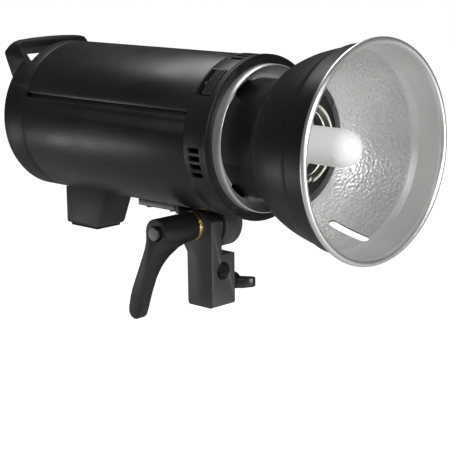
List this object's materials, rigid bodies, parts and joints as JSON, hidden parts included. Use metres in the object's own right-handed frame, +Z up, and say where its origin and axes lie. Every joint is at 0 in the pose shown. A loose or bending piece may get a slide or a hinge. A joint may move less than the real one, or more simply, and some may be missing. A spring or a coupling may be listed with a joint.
{
  "type": "monolight strobe",
  "caption": "Cylindrical studio flash head with a bayonet reflector, lever-locked tilt joint, stand socket with thumb screw, carrying handle, rear controls and rest foot.",
  "frame": {"origin": "mouth of the spigot socket, on its axis, at the underside of the stand bracket", "axes": "+Z up along the socket, the light leaves towards -Y, +X is to the right of somebody who stands before the lamp and faces it (right-handed)"},
  "size_m": [0.1802, 0.4129, 0.2518],
  "materials": {
    "body_paint": "satin",
    "bracket_paint": "satin",
    "trim_black": "matte",
    "trim_gloss": "gloss",
    "rail_alloy": "satin",
    "bush_brass": "satin",
    "steel": "satin",
    "black_steel": "satin",
    "mount_bright": "polished",
    "bowl_alloy": "hammered inside, black outside",
    "neck_black": "satin",
    "tube_glass": "clear",
    "lamp_glass": "frosted",
    "ceramic_white": "glazed",
    "rubber_black": "matte",
    "board_green": "satin",
    "can_sleeve": "gloss",
    "core_iron": "matte",
    "alloy_bare": "satin",
    "screen_glass": "smoked",
    "button_grey": "matte"
  },
  "bodies": {
    "bracket": {"stand_bracket": "bracket_paint", "tilt_washer": "steel"},
    "pad": {"thrust_pad": "steel"},
    "wing": {"wing_screw": "trim_gloss"},
    "clamp_screw": {"tilt_bolt": "steel", "lever_insert": "bush_brass", "lever_screw": "steel", "lever_spring": "steel"},
    "lever": {"clamp_lever": "trim_black"},
    "reflector": {"reflector_bowl": "bowl_alloy", "reflector_neck": "neck_black", "reflector_rivets": "black_steel"},
    "release": {"release_slider": "trim_black", "lock_pin": "steel"},
    "fan": {"fan_rotor": "trim_black"},
    "dial": {"control_dial": "button_grey"},
    "menu_key": {"menu_button": "button_grey"},
    "mode_key": {"mode_button": "button_grey"},
    "lamp_key": {"lamp_button": "button_grey"},
    "sound_key": {"sound_button": "button_grey"},
    "test_key": {"test_button": "button_grey"},
    "rocker": {"power_rocker": "trim_gloss"},
    "head": {"bayonet_ring": "mount_bright", "bezel_screws": "black_steel", "cap_screws": "black_steel", "capacitor_bank": "can_sleeve", "carry_handle": "trim_black", "chassis_plate": "alloy_bare", "control_board": "board_green", "control_panel": "trim_black", "display_module": "trim_gloss", "display_window": "screen_glass", "fan_housing": "trim_black", "flash_tube": "tube_glass", "foot_pad": "rubber_black", "front_bezel": "trim_black", "front_collar": "trim_black", "fuse_holder": "trim_gloss", "handle_screws": "black_steel", "head_knuckle": "bracket_paint", "heat_sink": "alloy_bare", "inlet_pins": "steel", "lamp_holder": "ceramic_white", "lamp_mount": "trim_black", "lamp_shield": "mount_bright", "lower_shell": "body_paint", "modelling_lamp": "lamp_glass", "mounting_rail": "rail_alloy", "pivot_cap": "bracket_paint", "power_board": "board_green", "power_inlet": "trim_gloss", "power_parts": "core_iron", "rear_cap": "trim_black", "rest_foot": "trim_black", "rocker_frame": "trim_gloss", "slider_spring": "steel", "sync_jack": "steel", "tube_sockets": "ceramic_white", "underside_screws": "black_steel", "upper_cover": "body_paint"}
  },
  "joints": [
    {"name": "head_tilt", "type": "hinge", "parent": "bracket", "child": "head", "pos_m": [0, 0.0045, 0.0725], "axis": [-1, 0, 0], "range_deg": [-25, 55]},
    {"name": "clamp_turn", "type": "hinge", "parent": "bracket", "child": "clamp_screw", "pos_m": [0, 0.0045, 0.0725], "axis": [1, 0, 0], "range_deg": [-75, 30]},
    {"name": "lever_lift", "type": "slide", "parent": "clamp_screw", "child": "lever", "axis": [-1, 0, 0], "range_m": [0, 0.005], "stiffness_N_per_m": 600, "springref_m": -0.004, "deforming": ["lever_spring"]},
    {"name": "pad_slide", "type": "slide", "parent": "bracket", "child": "pad", "axis": [-1, 0, 0], "range_m": [0, 0.003]},
    {"name": "wing_turn", "type": "hinge", "parent": "pad", "child": "wing", "pos_m": [0, 0, 0.0155], "axis": [-1, 0, 0], "range_deg": [0, 870]},
    {"name": "reflector_twist", "type": "hinge", "parent": "head", "child": "reflector", "pos_m": [0, -0.0655, 0.154], "axis": [0, -1, 0], "range_deg": [0, 26]},
    {"name": "release_slide", "type": "slide", "parent": "head", "child": "release", "axis": [0, 1, 0], "range_m": [0, 0.006], "stiffness_N_per_m": 400, "springref_m": -0.003, "deforming": ["slider_spring"]},
    {"name": "fan_spin", "type": "hinge", "parent": "head", "child": "fan", "pos_m": [0, -0.0315, 0.116], "axis": [0, 1, 0], "continuous": true},
    {"name": "dial_turn", "type": "hinge", "parent": "head", "child": "dial", "pos_m": [0, 0.2005, 0.146], "axis": [0, 1, 0], "continuous": true},
    {"name": "menu_press", "type": "slide", "parent": "head", "child": "menu_key", "axis": [0, -1, 0], "range_m": [0, 0.0012], "stiffness_N_per_m": 600, "springref_m": -0.001},
    {"name": "mode_press", "type": "slide", "parent": "head", "child": "mode_key", "axis": [0, -1, 0], "range_m": [0, 0.0012], "stiffness_N_per_m": 600, "springref_m": -0.001},
    {"name": "lamp_press", "type": "slide", "parent": "head", "child": "lamp_key", "axis": [0, -1, 0], "range_m": [0, 0.0012], "stiffness_N_per_m": 600, "springref_m": -0.001},
    {"name": "sound_press", "type": "slide", "parent": "head", "child": "sound_key", "axis": [0, -1, 0], "range_m": [0, 0.0012], "stiffness_N_per_m": 600, "springref_m": -0.001},
    {"name": "test_press", "type": "slide", "parent": "head", "child": "test_key", "axis": [0, -1, 0], "range_m": [0, 0.0012], "stiffness_N_per_m": 600, "springref_m": -0.001},
    {"name": "power_rock", "type": "hinge", "parent": "head", "child": "rocker", "pos_m": [-0.038, 0.1955, 0.148], "axis": [1, 0, 0], "range_deg": [-18, 0]}
  ],
  "couplings": [
    {"joint": "wing_turn", "follows": "pad_slide", "rad_per_m": 5026.5}
  ]
}
